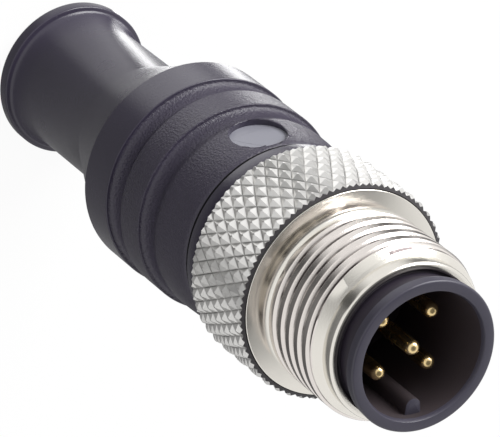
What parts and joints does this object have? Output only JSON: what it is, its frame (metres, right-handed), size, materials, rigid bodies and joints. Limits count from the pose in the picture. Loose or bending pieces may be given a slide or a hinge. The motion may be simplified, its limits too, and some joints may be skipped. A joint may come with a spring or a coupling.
{
  "type": "m12 connector",
  "caption": "Straight male M12 A-coded plug for field wiring: knurled coupling screw, open pin socket with coding key, ribbed moulded grip with a closed stem",
  "frame": {"origin": "centre of the flat end of the stem, which is also the middle of the bottom of the bounding box", "axes": "+Z along the plug's axis to the mating face, -Y through the coding key, +X completing the frame"},
  "size_m": [0.0148, 0.0148, 0.0464],
  "materials": {
    "nickel": "bright nickel plate on turned brass",
    "carrier_plastic": "dark slate, fine satin",
    "gold": "bright gold plate",
    "mould_plastic": "smooth dark slate",
    "grip_plastic": "dark slate with a fine leather grain on the grip bands",
    "ceramic": "lacquered ceramic",
    "tinned": "tinned",
    "sleeve_plastic": "soft insulating sleeve",
    "solder": "bright solder"
  },
  "bodies": {
    "plug": {"contact_carrier": "carrier_plastic", "contact_pin_1": "gold", "contact_pin_2": "gold", "contact_pin_3": "gold", "contact_pin_4": "gold", "contact_pin_5": "gold", "inner_mould": "mould_plastic", "grip_body": "grip_plastic", "resistor_body": "ceramic", "resistor_cap_front": "tinned", "resistor_cap_rear": "tinned", "resistor_lead_front": "tinned", "resistor_lead_rear": "tinned", "lead_sleeve": "sleeve_plastic", "solder_joint_4": "solder", "solder_joint_5": "solder"},
    "coupling": {"coupling_screw": "nickel"}
  },
  "joints": [
    {"name": "coupling_turn", "type": "hinge", "parent": "plug", "child": "coupling", "pos_m": [0, 0, 0.034], "axis": [0, 0, 1], "continuous": true}
  ]
}
